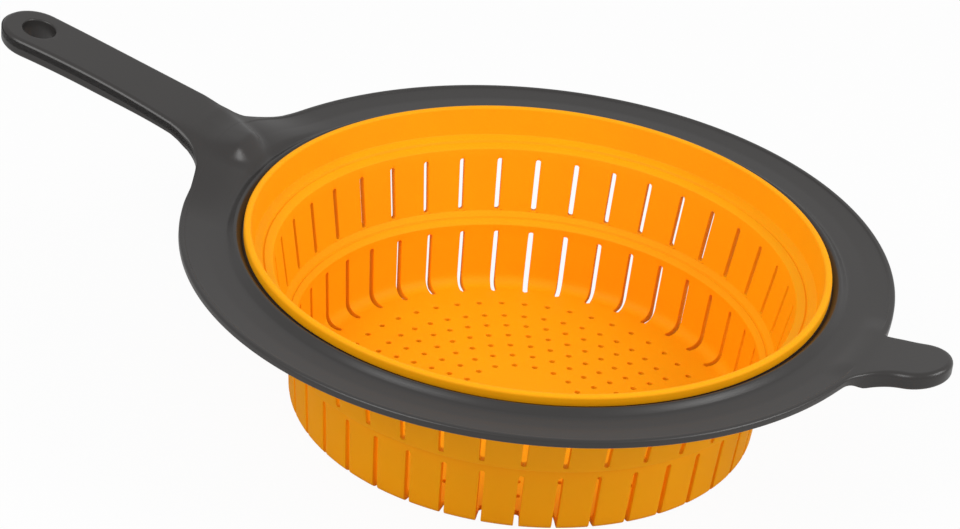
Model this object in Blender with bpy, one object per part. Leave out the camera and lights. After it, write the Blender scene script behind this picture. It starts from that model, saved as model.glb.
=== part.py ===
"""Collapsible steamer insert: a folding silicone basket held in a nylon frame with a long handle.

Metres, +Z up. The origin is the middle of the basket's underside, the handle points along -X and
the helper tab along +X. The basket is one silicone moulding that folds at two thin rings, so each
zone that moves is an object of its own, with its origin on the axis that it slides along.
"""

import math

import bmesh
import bpy
from mathutils import Matrix, Vector

# Clearances and construction sizes
touch_gap = 0.0003  # between two pieces that meet
cut_overrun = 0.002  # how far a cutter reaches past what it cuts
merge_distance = 0.00001
ring_steps = 90
wall_steps = 80  # two facets for each slot, so that a slot lies inside a facet
cap_steps = 5
flare_steps = 5
side_steps = 4

# Basket rim: the lip that lies on the frame and the band under it
rim_radius = 0.110
lip_width = 0.0028
lip_height = 0.0040
lip_round = 0.0011
rim_wall = 0.0016
band_depth = 0.0117
band_taper = 0.0016
bead_reach = 0.0020  # how far the retaining bead stands out under the frame
bead_height = 0.0020
bead_relief = 0.0004  # depth of the rebate under the opening's edge, where the bead sits
bead_room = 0.0010  # between the bead and the rebate's side

# Upper fold, the thin ring under the band
fold_wall = 0.0015
upper_fold_drop = 0.0042
upper_fold_width = 0.0051
fold_step_share = 0.45

# Upper tier wall
wall_thickness = 0.0019
upper_wall_height = 0.0250
upper_wall_taper = 0.0049
slot_count = 40
slot_width = 0.0019
upper_slot_margin = 0.0035  # from the wall's top edge to the slots
upper_slot_foot = 0.0024  # from the slots to the wall's bottom edge

# Middle fold, between the tiers
middle_fold_drop = 0.0052
middle_fold_width = 0.0048
tier_overlap = 0.0006

# Lower tier: wall, rounded corner and the edge of the floor
lower_wall_height = 0.0254
lower_wall_taper = 0.0021
lower_slot_margin = 0.0013
corner_radius = 0.0048
outer_corner_radius = 0.0028
floor_thickness = 0.0022
corner_arc_steps = 2
floor_edge_width = 0.0074  # from the wall's inner face to the perforated disc
slot_floor_margin = 0.0017  # floor left between the disc and a slot's end

# Perforated floor: rings of holes, each ring with six more than the last
hole_radius = 0.00085
hole_sides = 4
first_hole_ring = 3
last_hole_ring = 8
last_ring_share = 0.863  # of the outermost ring's radius
outer_hole_margin = 0.0083  # from the disc's edge to the outermost ring
outer_hole_count = 48
holes_per_ring_step = 6

# Frame ring
opening_clearance = 0.00035  # round the basket's band
flange_width = 0.0254
plate_thickness = 0.0029
seat_width = 0.0033
seat_depth = 0.0011  # the lip's seat below the flange's edge
collar_width = 0.0046
collar_height = 0.0017
collar_top_share = 0.42
dish_depth = 0.0010
edge_width = 0.0028
edge_round = 0.0012

# Handle
handle_length = 0.0958  # beyond the flange
handle_root_lift = 0.0108
handle_rise = 0.0213
handle_arch = 0.0017
handle_half_width = 0.0130  # at the waist
handle_root_half_width = 0.0159
handle_tip_half_width = 0.0136
handle_waist = 0.052  # from the flange to the narrowest place
handle_thickness = 0.0070
handle_root_thickness = 0.0060
handle_thickening = 0.040  # length over which the handle thickens
handle_flare_steps = 3  # ring steps to each side that the handle grows from, at most
tongue_half_width = 0.0122
tongue_end = 0.0040  # how far inside the flange's edge the raised tongue has its full height
tongue_fall = 0.0120
tongue_round = 0.0120
tongue_shoulder = 0.034
tongue_inner_shoulder = 0.008
shoulder_power = 2.3
hang_hole_radius = 0.0066
hang_hole_margin = 0.0148  # from the handle's tip to the hole's middle
core_wall = 0.0024
core_rib = 0.0018
core_start = 0.0210  # from the flange to the first pocket
core_end = 0.0280  # from the last pocket to the handle's tip
core_count = 4

# Helper tab
tab_length = 0.0284
tab_root_half_width = 0.0128
tab_half_width = 0.0134
tab_rise = 0.0039  # climb of its top from the flange's edge to its tip
tab_curve_share = 1.3  # over 1, the top starts level and steepens outwards
tab_thickness = 0.0064
tab_pad_start = 0.0120  # how far inside the flange's edge the pad begins
tab_pad_fall = 0.0040
tab_shoulder = 0.0050
tab_thickening = 0.0100  # its underside slopes down over this length, outside the flat flange
tab_flare_steps = 3  # ring steps to the flared side, at most
tab_far_steps = 1
tab_waist = 0.0180
tab_core_start = 0.0080
tab_core_end = 0.0095

# Levels and radii that follow
slot_pitch = 2 * math.pi / slot_count
wall_turn = math.pi / wall_steps  # turns every basket ring so that slots sit inside facets
ring_turn = 2 * math.pi / ring_steps

fold_seam = lower_wall_height + touch_gap
middle_fold_top = fold_seam + middle_fold_drop
upper_wall_bottom = middle_fold_top - tier_overlap
upper_wall_top = upper_wall_bottom + upper_wall_height
upper_fold_bottom = upper_wall_top - upper_fold_drop / 3
upper_fold_top = upper_fold_bottom + upper_fold_drop
band_bottom = upper_fold_top + touch_gap
rim_top = band_bottom + band_depth
lip_bottom = rim_top - lip_height

band_inner_top = rim_radius - lip_width
band_inner_bottom = band_inner_top - band_taper
fold_outer_radius = band_inner_bottom + rim_wall
upper_fold_inner = band_inner_bottom - upper_fold_width
upper_wall_outer_top = upper_fold_inner - touch_gap
upper_wall_outer_bottom = upper_wall_outer_top - upper_wall_taper
upper_wall_inner_bottom = upper_wall_outer_bottom - wall_thickness
middle_fold_outer = upper_wall_inner_bottom - touch_gap
middle_fold_inner = middle_fold_outer - middle_fold_width
lower_wall_inner_top = middle_fold_inner - touch_gap
lower_wall_inner_bottom = lower_wall_inner_top - lower_wall_taper
disc_radius = lower_wall_inner_bottom - floor_edge_width
slot_end_radius = disc_radius + touch_gap + slot_floor_margin
outer_hole_radius = disc_radius - outer_hole_margin
hole_ring_pitch = outer_hole_radius * last_ring_share / last_hole_ring

seat_level = lip_bottom - touch_gap
edge_level = seat_level + seat_depth
plate_bottom = edge_level - plate_thickness
outer_band_at_seat = band_inner_top + rim_wall - band_taper * lip_height / band_depth
opening_radius = outer_band_at_seat + opening_clearance
flange_radius = opening_radius + flange_width
bead_radius = opening_radius + bead_reach
relief_radius = bead_radius + bead_room
relief_level = plate_bottom + bead_relief
collar_radius = opening_radius + seat_width + collar_width

# How far each tier travels when the basket is pressed flat
fold_spacing = (upper_fold_top + upper_fold_bottom) / 2 - (middle_fold_top + fold_seam) / 2

# Finishes
silicone_orange = (1.0, 0.31, 0.004, 1.0)
nylon_grey = (0.072, 0.068, 0.066, 1.0)
silicone_roughness = 0.55
nylon_roughness = 0.48


def clear_scene():
    for old in list(bpy.data.objects):
        bpy.data.objects.remove(old, do_unlink=True)


def material(name, colour, roughness):
    made = bpy.data.materials.new(name)
    made.use_nodes = True
    shader = made.node_tree.nodes["Principled BSDF"]
    shader.inputs["Base Color"].default_value = colour
    shader.inputs["Roughness"].default_value = roughness
    shader.inputs["Metallic"].default_value = 0
    return made


def finish(name, bm, finish_of, sharp_angle=math.radians(35)):
    """Turns the bmesh into an object of the scene with smooth shading and its material."""
    bmesh.ops.remove_doubles(bm, verts=bm.verts, dist=merge_distance)
    bmesh.ops.recalc_face_normals(bm, faces=bm.faces)
    mesh = bpy.data.meshes.new(name)
    bm.to_mesh(mesh)
    bm.free()
    mesh.shade_smooth()
    mesh.set_sharp_from_angle(angle=sharp_angle)
    mesh.materials.append(finish_of)
    made = bpy.data.objects.new(name, mesh)
    bpy.context.scene.collection.objects.link(made)
    return made


def cut(target, name, bm):
    """Takes the closed shapes of the bmesh out of the target with a Boolean modifier."""
    bmesh.ops.recalc_face_normals(bm, faces=bm.faces)
    mesh = bpy.data.meshes.new(name)
    bm.to_mesh(mesh)
    bm.free()
    cutter = bpy.data.objects.new(name, mesh)
    cutter.hide_render = True
    cutter.display_type = "WIRE"
    bpy.context.scene.collection.objects.link(cutter)
    cutter.parent = target.parent
    modifier = target.modifiers.new(name, "BOOLEAN")
    modifier.object = cutter
    modifier.operation = "DIFFERENCE"
    modifier.solver = "EXACT"


def arc(centre, radius, start, end, steps):
    """Points (radius, height) of an arc about a centre, angles from the outward direction."""
    return [
        (
            centre[0] + radius * math.cos(start + (end - start) * i / steps),
            centre[1] + radius * math.sin(start + (end - start) * i / steps),
        )
        for i in range(steps + 1)
    ]


def turn_profile(bm, profile, steps, start):
    """Spins a closed profile of (radius, height) points about Z, from the azimuth start."""
    spun = Matrix.Rotation(start, 3, "Z")
    points = [bm.verts.new(spun @ Vector((radius, 0, height))) for radius, height in profile]
    edges = [bm.edges.new((a, b)) for a, b in zip(points, points[1:] + points[:1])]
    bmesh.ops.spin(
        bm,
        geom=points + edges,
        cent=(0, 0, 0),
        axis=(0, 0, 1),
        angle=2 * math.pi,
        steps=steps,
        use_merge=True,
    )


def turned_object(name, profile, finish_of):
    bm = bmesh.new()
    turn_profile(bm, profile, wall_steps, wall_turn)
    return finish(name, bm, finish_of)


def add_block(bm, low, high, turn):
    """A box between two corners, turned about Z."""
    middle = (Vector(low) + Vector(high)) / 2
    size = Vector(high) - Vector(low)
    place = Matrix.Rotation(turn, 4, "Z") @ Matrix.Translation(middle) @ Matrix.Diagonal((*size, 1))
    bmesh.ops.create_cube(bm, size=1, matrix=place)


def slot_blocks(inner, outer, bottom, top):
    """One radial box for each slot, halfway between the pitch lines, so none is on the handle's axis."""
    bm = bmesh.new()
    for number in range(slot_count):
        turn = (number + 0.5) * slot_pitch
        add_block(bm, (inner, -slot_width / 2, bottom), (outer, slot_width / 2, top), turn)
    return bm


def make_basket_rim(silicone):
    """The lip on the frame, the band inside the opening and the bead that snaps under the frame."""
    band_slope = band_taper / band_depth

    def outer_face(level):
        return band_inner_top + rim_wall - band_slope * (rim_top - level)

    bead_top = relief_level - touch_gap
    bead_bottom = bead_top - bead_height
    profile = [
        (band_inner_bottom, band_bottom),
        (fold_outer_radius, band_bottom),
        (outer_face(bead_bottom), bead_bottom),
        (bead_radius, bead_bottom + bead_height / 2),
        (outer_face(bead_top), bead_top),
        (outer_face(lip_bottom), lip_bottom),
        (rim_radius, lip_bottom),
        (rim_radius, rim_top - lip_round),
        (rim_radius - lip_round, rim_top),
        (band_inner_top, rim_top - lip_round / 2),
    ]
    return turned_object("basket_rim", profile, silicone)


def make_upper_fold(silicone):
    """The thin stepped ring where the wall of the upper tier turns over."""
    step_radius = band_inner_bottom - upper_fold_width * fold_step_share
    step_level = upper_fold_top - (upper_fold_drop - fold_wall) * 2 * fold_step_share
    inner_level = upper_fold_bottom + fold_wall
    profile = [
        (upper_fold_inner, upper_fold_bottom),
        (fold_outer_radius, upper_fold_top - fold_wall),
        (fold_outer_radius, upper_fold_top),
        (band_inner_bottom, upper_fold_top),
        (step_radius, max(step_level, inner_level)),
        (upper_fold_inner, inner_level),
    ]
    return turned_object("upper_fold", profile, silicone)


def make_upper_wall(silicone, joint):
    """The slotted cone that turns inside out when the basket folds."""
    profile = [
        (upper_wall_inner_bottom, upper_wall_bottom),
        (upper_wall_outer_bottom, upper_wall_bottom),
        (upper_wall_outer_top, upper_wall_top),
        (upper_wall_outer_top - wall_thickness, upper_wall_top),
    ]
    wall = turned_object("upper_wall", profile, silicone)
    wall.parent = joint
    slots = slot_blocks(
        upper_wall_inner_bottom - cut_overrun,
        upper_wall_outer_top + cut_overrun,
        upper_wall_bottom + upper_slot_foot,
        upper_wall_top - upper_slot_margin,
    )
    cut(wall, "upper_slots", slots)
    return wall


def make_middle_fold(silicone, joint):
    """The thin ring between the tiers; it clears the upper wall's inside when it passes through."""
    step_radius = middle_fold_outer - middle_fold_width * fold_step_share
    step_level = middle_fold_top - middle_fold_drop * fold_step_share
    profile = [
        (middle_fold_inner, fold_seam),
        (middle_fold_inner + wall_thickness, fold_seam),
        (middle_fold_outer, middle_fold_top - fold_wall),
        (middle_fold_outer, middle_fold_top),
        (step_radius, step_level),
    ]
    fold = turned_object("middle_fold", profile, silicone)
    fold.parent = joint
    return fold


def make_lower_wall(silicone, joint):
    """The lower cup's wall, its rounded corner and the rim of the floor, with slots round the corner."""
    outer_top = lower_wall_inner_top + wall_thickness
    outer_bottom = lower_wall_inner_bottom + wall_thickness
    inside = arc(
        (lower_wall_inner_bottom - corner_radius, floor_thickness + corner_radius),
        corner_radius,
        0,
        -math.pi / 2,
        corner_arc_steps,
    )
    outside = arc(
        (outer_bottom - outer_corner_radius, outer_corner_radius),
        outer_corner_radius,
        -math.pi / 2,
        0,
        corner_arc_steps,
    )
    edge = disc_radius + touch_gap
    profile = [(lower_wall_inner_top, lower_wall_height)]
    profile += inside
    profile += [(edge, floor_thickness), (edge, 0)]
    profile += outside
    profile += [(outer_top, lower_wall_height)]
    wall = turned_object("lower_wall", profile, silicone)
    wall.parent = joint
    slots = slot_blocks(
        slot_end_radius,
        outer_top + cut_overrun,
        -cut_overrun,
        lower_wall_height - lower_slot_margin,
    )
    cut(wall, "lower_slots", slots)
    return wall


def hole_places():
    """Angle and radius of every floor hole: hexagonal rings, then one closer-set ring at the edge."""
    for ring in range(first_hole_ring, last_hole_ring + 1):
        count = ring * holes_per_ring_step
        for number in range(count):
            yield math.pi + 2 * math.pi * number / count, ring * hole_ring_pitch
    for number in range(outer_hole_count):
        yield math.pi + 2 * math.pi * number / outer_hole_count, outer_hole_radius


def make_base_grille(silicone, joint):
    """The perforated disc of the floor, blank in the middle."""
    profile = [(disc_radius, floor_thickness), (0, floor_thickness), (0, 0), (disc_radius, 0)]
    disc = turned_object("base_grille", profile, silicone)
    disc.parent = joint
    holes = bmesh.new()
    depth = floor_thickness + 2 * cut_overrun
    for turn, radius in hole_places():
        place = Matrix.Rotation(turn, 4, "Z") @ Matrix.Translation((radius, 0, floor_thickness / 2))
        bmesh.ops.create_cone(
            holes,
            cap_ends=True,
            segments=hole_sides,
            radius1=hole_radius,
            radius2=hole_radius,
            depth=depth,
            matrix=place,
        )
    cut(disc, "floor_holes", holes)
    return disc


def frame_profile():
    """Closed section of the ring as (radius, height, share), share 1 on top and 0 underneath."""
    seat_outer = opening_radius + seat_width
    foot = collar_radius
    collar_inner = seat_outer + collar_width * (1 - collar_top_share) / 2
    collar_outer = collar_inner + collar_width * collar_top_share
    collar_level = seat_level + collar_height
    dish_level = edge_level - dish_depth
    edge_inner = flange_radius - edge_width
    return [
        (opening_radius, relief_level, 0),
        (opening_radius, seat_level, 1),
        (seat_outer, seat_level, 1),
        (collar_inner, collar_level, 1),
        (collar_outer, collar_level, 1),
        (foot, dish_level, 1),
        (edge_inner - edge_width, dish_level + dish_depth / 3, 1),
        (edge_inner, edge_level, 1),
        (flange_radius - edge_round, edge_level, 1),
        (flange_radius, edge_level - edge_round, 1 - edge_round / plate_thickness),
        (flange_radius, plate_bottom + edge_round / 2, edge_round / 2 / plate_thickness),
        (flange_radius - edge_round / 2, plate_bottom, 0),
        (foot, plate_bottom, 0),
        (relief_radius, plate_bottom, 0),
        (relief_radius, relief_level, 0),
    ]


def ease(value):
    """0 to 1 with level ends."""
    value = min(max(value, 0), 1)
    return value * value * (3 - 2 * value)


def handle_top(along):
    """Height of the handle's flat top at a distance along its axis."""
    share = (along - flange_radius) / handle_length
    return edge_level + handle_root_lift + handle_rise * share + 4 * handle_arch * share * (1 - share)


def handle_depth(along):
    thickening = ease((along - flange_radius - handle_half_width) / handle_thickening)
    rooting = ease((along - collar_radius) / (flange_radius + handle_half_width - collar_radius))
    root = plate_thickness + (handle_root_thickness - plate_thickness) * rooting
    return root + (handle_thickness - root) * thickening


def handle_share(along, across):
    """How much of the handle's height a place has: 1 on the tongue, 0 on the plain flange."""
    radius = math.hypot(along, across)
    inner = flange_radius - tongue_end - tongue_fall
    rise = ease((radius - inner) / tongue_fall)
    reach = min(max((flange_radius - tongue_end - along) / tongue_round, 0), 1)
    half = tongue_half_width * math.sqrt(1 - reach * reach)
    shoulder = tongue_inner_shoulder + (tongue_shoulder - tongue_inner_shoulder) * ease(
        (radius - inner) / (flange_radius - inner)
    )
    outside = max(abs(across) - half, 0) / shoulder
    return rise * max(1 - outside, 0) ** shoulder_power


def tab_top(along):
    share = max(along - flange_radius, 0) / tab_length
    return edge_level + tab_rise * share**tab_curve_share


def tab_depth(along):
    thickening = min(max((along - flange_radius - edge_round) / tab_thickening, 0), 1)
    return plate_thickness + (tab_thickness - plate_thickness) * thickening


def tab_share(along, across):
    radius = math.hypot(along, across)
    rise = ease((radius - flange_radius + tab_pad_start) / tab_pad_fall)
    outside = max(abs(across) - tab_root_half_width, 0) / tab_shoulder
    return rise * max(1 - outside, 0) ** 2


def lift(point, share):
    """Height of a frame point, from its plain height and its share, where handle and tab raise it."""
    level = point.z
    if point.x < 0:
        raised, top, depth = handle_share, handle_top, handle_depth
    else:
        raised, top, depth = tab_share, tab_top, tab_depth
    along = abs(point.x)
    amount = raised(along, point.y)
    if amount <= 0:
        return level
    full_top = top(along)
    full_bottom = full_top - depth(along)
    if share >= 1:
        return level + (full_top - level) * amount
    over = (full_top - edge_level) * share + (full_bottom - plate_bottom) * (1 - share)
    return level + over * amount


def fillet_of(half_width, root_angle):
    """Radius and centre of the circle tangent to the ring at an angle and to an arm's side."""
    sine = math.sin(root_angle)
    radius = (flange_radius * sine - half_width) / (1 - sine)
    return radius, (flange_radius + radius) * math.cos(root_angle), half_width + radius


def flare_angle(half_width, tip_centre, most_steps):
    """The widest whole number of ring steps whose fillet ends before the arm's round tip begins."""
    steps = most_steps
    while steps > 1 and fillet_of(half_width, steps * ring_turn)[1] > tip_centre:
        steps -= 1
    return steps * ring_turn


def fillet_side(half_width, root_angle, inset, steps, sign):
    """Outline from the ring to an arm's side, round a fillet tangent to both, as (along, across)."""
    radius, centre_along, centre_across = fillet_of(half_width, root_angle)
    places = []
    for step in range(1, steps + 1):
        angle = (math.pi / 2 - root_angle) * (1 - step / steps)
        reach = radius + inset
        along = centre_along - reach * math.sin(angle)
        places.append((along, sign * (centre_across - reach * math.cos(angle))))
    return places


handle_tip_centre = flange_radius + handle_length - handle_tip_half_width
tab_tip_centre = flange_radius + tab_length - tab_half_width
handle_sector = flare_angle(handle_root_half_width, handle_tip_centre, handle_flare_steps)
tab_near_sector = flare_angle(tab_root_half_width, tab_tip_centre, tab_flare_steps)
tab_far_sector = tab_far_steps * ring_turn


def straight_side(start, end, half_widths, inset, steps, sign):
    """Outline along an arm from start to end, at half_widths(distance from the flange)."""
    places = []
    for step in range(1, steps + 1):
        along = start + (end - start) * step / steps
        places.append((along, sign * (half_widths(along - flange_radius) - inset)))
    return places


def cap_side(centre, radius, inset, steps, sign):
    """Outline round an arm's tip."""
    places = []
    for step in range(1, steps + 1):
        angle = math.pi / 2 * (1 - step / steps)
        reach = radius - inset
        places.append((centre + reach * math.cos(angle), sign * reach * math.sin(angle)))
    return places


def handle_widths(distance):
    share = distance / handle_waist - 1
    if share < 0:
        return handle_half_width + (handle_root_half_width - handle_half_width) * share**2
    share *= handle_waist / (handle_tip_centre - flange_radius - handle_waist)
    return handle_half_width + (handle_tip_half_width - handle_half_width) * share**2


def tab_widths(distance):
    share = ease(distance / tab_waist)
    return tab_root_half_width + (tab_half_width - tab_root_half_width) * share


def handle_outline(inset, sign):
    tip_centre = handle_tip_centre
    flare = fillet_side(handle_root_half_width, handle_sector, inset, flare_steps, sign)
    start = flare[-1][0]
    sides = straight_side(start, tip_centre, handle_widths, inset, side_steps, sign)
    return flare + sides + cap_side(tip_centre, handle_tip_half_width, inset, cap_steps, sign)


def tab_outline(inset, sign):
    tip_centre = tab_tip_centre
    if sign < 0:
        flare = fillet_side(tab_root_half_width, tab_near_sector, inset, flare_steps, sign)
        start = flare[-1][0]
        sides = straight_side(start, tip_centre, tab_widths, inset, 1, sign)
    else:
        sides = straight_side(flange_radius, tip_centre, tab_widths, inset, flare_steps + 1, sign)
        flare = []
    return flare + sides + cap_side(tip_centre, tab_half_width, inset, cap_steps, sign)


def sector_faces(bm, middle, low, high):
    """Faces of the ring's outer edge between two angles from the middle direction."""
    found = []
    for face in bm.faces:
        centre = face.calc_center_median()
        turn = math.atan2(centre.y, centre.x) - middle
        turn = (turn + math.pi) % (2 * math.pi) - math.pi
        outside = all(vert.co.xy.length > flange_radius - edge_round * 1.01 for vert in face.verts)
        if outside and low < turn < high:
            found.append(face)
    return found


def grow_arm(bm, direction, low, high, outline):
    """Opens the ring's edge between two angles and extrudes the opening along an arm's outline."""
    middle = math.pi if direction < 0 else 0
    faces = sector_faces(bm, middle, low, high)
    bmesh.ops.delete(bm, geom=faces, context="FACES_ONLY")
    loose = [edge for edge in bm.edges if not edge.link_faces]
    bmesh.ops.delete(bm, geom=loose, context="EDGES")
    loop = [edge for edge in bm.edges if edge.is_boundary]
    verts = {vert for edge in loop for vert in edge.verts}
    places = {}
    for vert in verts:
        across_turn = math.asin(vert.co.y / vert.co.xy.length)
        share = (across_turn - low) / (high - low)
        inset = flange_radius - vert.co.xy.length
        places[vert] = (share, inset, vert.co.z)
    rows = len(outline(0, 1))
    bulge = flange_radius * (1 - math.cos((high - low) / 2))
    for row in range(rows):
        made = bmesh.ops.extrude_edge_only(bm, edges=loop)["geom"]
        grown = {item for item in made if isinstance(item, bmesh.types.BMVert)}
        next_places = {}
        for vert in grown:
            source = next(
                edge.other_vert(vert) for edge in vert.link_edges if edge.other_vert(vert) in places
            )
            share, inset, level = places[source]
            near = outline(inset, -1)[row]
            far = outline(inset, 1)[row]
            along = near[0] + (far[0] - near[0]) * share
            along += bulge * (1 - (2 * share - 1) ** 2) * max(1 - (row + 1) / flare_steps, 0)
            across = near[1] + (far[1] - near[1]) * share
            vert.co = (direction * along, across, level)
            next_places[vert] = (share, inset, level)
        loop = [
            item
            for item in made
            if isinstance(item, bmesh.types.BMEdge) and item.verts[0] in grown and item.verts[1] in grown
        ]
        places = next_places
    bmesh.ops.remove_doubles(bm, verts=list(places), dist=merge_distance)
    rest = [edge for edge in bm.edges if edge.is_boundary]
    if rest:
        bmesh.ops.holes_fill(bm, edges=rest, sides=0)


def core_block(bm, direction, start, end, widths, top, depth):
    """A pocket's cutter: it leaves the core wall at the sides and over the top, and opens downwards."""
    corners = []
    for along in (start, end):
        half = widths(along - flange_radius) - core_wall
        high = top(along) - core_wall
        low = top(along) - depth(along) - cut_overrun
        for across in (-half, half):
            for level in (low, high):
                corners.append(bm.verts.new((direction * along, across, level)))
    bmesh.ops.convex_hull(bm, input=corners)


def make_frame(nylon):
    """The ring flange, the handle with its raised tongue, and the helper tab, as one moulding."""
    bm = bmesh.new()
    shares = bm.verts.layers.float.new("share")
    section = frame_profile()
    turn_profile(bm, [(radius, level) for radius, level, _ in section], ring_steps, 0)
    for vert in bm.verts:
        radius = vert.co.xy.length
        closest = min(section, key=lambda p: abs(p[0] - radius) + abs(p[1] - vert.co.z))
        vert[shares] = closest[2]
    grow_arm(bm, -1, -handle_sector, handle_sector, handle_outline)
    grow_arm(bm, 1, -tab_near_sector, tab_far_sector, tab_outline)
    for vert in bm.verts:
        vert.co.z = lift(vert.co, vert[shares])
    frame = finish("frame", bm, nylon)

    hole = bmesh.new()
    along = flange_radius + handle_length - hang_hole_margin
    top = handle_top(along) + cut_overrun
    bottom = handle_top(along) - handle_thickness - cut_overrun
    bmesh.ops.create_cone(
        hole,
        cap_ends=True,
        segments=ring_steps // 4,
        radius1=hang_hole_radius,
        radius2=hang_hole_radius,
        depth=top - bottom,
        matrix=Matrix.Translation((-along, 0, (top + bottom) / 2)),
    )
    cut(frame, "hang_hole", hole)

    cores = bmesh.new()
    first = flange_radius + core_start
    span = flange_radius + handle_length - core_end - first
    pitch = (span + core_rib) / core_count
    for number in range(core_count):
        start = first + number * pitch
        core_block(cores, -1, start, start + pitch - core_rib, handle_widths, handle_top, handle_depth)
    tab_start = flange_radius + tab_core_start
    tab_end = flange_radius + tab_length - tab_core_end
    core_block(cores, 1, tab_start, tab_end, tab_widths, tab_top, tab_depth)
    cut(frame, "cores", cores)
    return frame


def tier_joint(name, travel):
    """An empty on the basket's axis that carries the pieces of one sliding tier."""
    joint = bpy.data.objects.new(name, None)
    joint["travel"] = travel
    bpy.context.scene.collection.objects.link(joint)
    return joint


def main():
    clear_scene()
    silicone = material("silicone", silicone_orange, silicone_roughness)
    nylon = material("nylon", nylon_grey, nylon_roughness)
    upper_tier = tier_joint("upper_tier", fold_spacing)
    lower_tier = tier_joint("lower_tier", 2 * fold_spacing)
    make_frame(nylon)
    make_basket_rim(silicone)
    make_upper_fold(silicone)
    make_upper_wall(silicone, upper_tier)
    make_middle_fold(silicone, lower_tier)
    make_lower_wall(silicone, lower_tier)
    make_base_grille(silicone, lower_tier)


main()
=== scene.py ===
"""The looks of a folding steamer insert: a slotted silicone basket in a nylon frame."""

import math
from typing import Callable, NamedTuple

import bmesh
import bpy
from bpy.props import FloatProperty, IntProperty, PointerProperty, StringProperty
from mathutils import Euler, Matrix, Vector
from mathutils.geometry import interpolate_bezier


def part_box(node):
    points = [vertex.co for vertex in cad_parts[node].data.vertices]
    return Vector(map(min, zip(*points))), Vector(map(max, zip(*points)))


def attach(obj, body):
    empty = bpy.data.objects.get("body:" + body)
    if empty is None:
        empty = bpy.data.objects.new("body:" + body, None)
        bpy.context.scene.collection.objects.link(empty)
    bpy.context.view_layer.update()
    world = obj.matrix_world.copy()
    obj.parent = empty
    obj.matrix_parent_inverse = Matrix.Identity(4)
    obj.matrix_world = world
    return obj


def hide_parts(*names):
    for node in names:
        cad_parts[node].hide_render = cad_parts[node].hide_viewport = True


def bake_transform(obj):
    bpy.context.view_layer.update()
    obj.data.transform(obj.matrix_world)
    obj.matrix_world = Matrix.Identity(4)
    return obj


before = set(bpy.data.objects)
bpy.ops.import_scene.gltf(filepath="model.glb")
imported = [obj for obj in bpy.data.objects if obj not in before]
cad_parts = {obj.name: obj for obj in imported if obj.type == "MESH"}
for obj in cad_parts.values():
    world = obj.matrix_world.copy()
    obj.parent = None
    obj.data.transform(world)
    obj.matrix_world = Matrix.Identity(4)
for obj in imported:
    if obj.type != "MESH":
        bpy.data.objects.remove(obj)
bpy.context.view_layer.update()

bl_info = {
    "name": "Folding steamer insert",
    "version": (1, 0, 0),
    "blender": (4, 5, 0),
    "location": "3D View > Sidebar > Insert",
    "description": "Models a folding silicone steamer basket in its nylon frame",
    "category": "Object",
}

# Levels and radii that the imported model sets
rim_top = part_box("basket_rim")[1][2]
upper_wall_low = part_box("upper_wall")[0][2]
floor_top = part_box("base_grille")[1][2]
flange_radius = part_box("frame")[1][1]
handle_tip = -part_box("frame")[0][0]
tab_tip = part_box("frame")[1][0]

# How finely the meshes are divided
columns_per_slot = 8
frame_steps = 640
cutter_steps = 48
doublings = 4
arc_step = math.radians(15)
merge_distance = 0.00002
sharp_angle = math.radians(40)


def setting(name, default, description, **kind):
    """A value that can be changed in the panel."""
    return FloatProperty(name=name, default=default, description=description, **kind)


def length(name, metres, description):
    return setting(name, metres, description, unit="LENGTH", precision=5)


def turn(name, degrees, description):
    return setting(name, math.radians(degrees), description, unit="ROTATION")


def dullness(default):
    return setting("Roughness", default, "Dullness of the surface", min=0, max=1)


def hex_colour(default):
    return StringProperty(name="Colour", default=default, description="sRGB hex colour")


class BasketSizes(bpy.types.PropertyGroup):
    lip_radius: length("Lip radius", 0.1100, "Outer radius of the rolled lip")
    lip_width: length("Lip width", 0.0027, "Width of the lip's top")
    lip_height: length("Lip height", 0.0041, "Height of the lip's outer side")
    band_taper: length("Band taper", 0.0017, "How much the plain band narrows downwards")
    band_depth: length("Band depth", 0.0111, "From the lip's top to the upper fold")
    fold_width: length("Upper fold", 0.0073, "Width of the upper fold, to the slotted wall")
    fold_drop: length("Upper fold drop", 0.0026, "How much the upper fold falls inwards")
    upper_taper: length("Upper taper", 0.0048, "How much the upper wall narrows downwards")
    middle_width: length("Middle fold", 0.0053, "Width of the fold between the tiers")
    middle_drop: length("Middle fold drop", 0.0034, "How much the middle fold falls inwards")
    lower_taper: length("Lower taper", 0.0022, "How much the lower wall narrows downwards")
    wall: length("Wall", 0.0026, "Thickness of the slotted walls")
    fold_wall: length("Fold wall", 0.0015, "Thickness of the two folds")
    groove: length("Fold groove", 0.00075, "Depth of the groove along the middle of each fold")
    corner: length("Corner", 0.0046, "Rounding between the lower wall and the floor, inside")
    bead_drop: length("Bead drop", 0.0063, "From the lip's top down to the bead under the frame")
    bead_reach: length("Bead reach", 0.0016, "How far the bead under the frame stands out")
    disc_radius: length("Floor disc", 0.0780, "Radius of the perforated part of the floor")
    slot_end: length("Slot end", 0.0797, "Radius where the lower slots end in the floor")
    slot_gap: length("Slot gap", 0.0028, "From the middle fold down to the lower slots")
    slot_width: length("Slot width", 0.0020, "Width of every slot")
    slot_soft: length("Slot edge", 0.00022, "Rounding of the slots' edges")
    hole_radius: length("Hole radius", 0.00112, "Radius of the floor's holes")
    hole_soft: length("Hole edge", 0.00022, "Rounding of the holes' edges")
    outer_holes: length("Outer holes", 0.0701, "Radius of the outermost ring of holes")
    hole_pitch: length("Hole pitch", 0.00756, "Distance between the inner rings of holes")
    slot_count: IntProperty(name="Slots", default=40, description="Slots in each tier")


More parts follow.
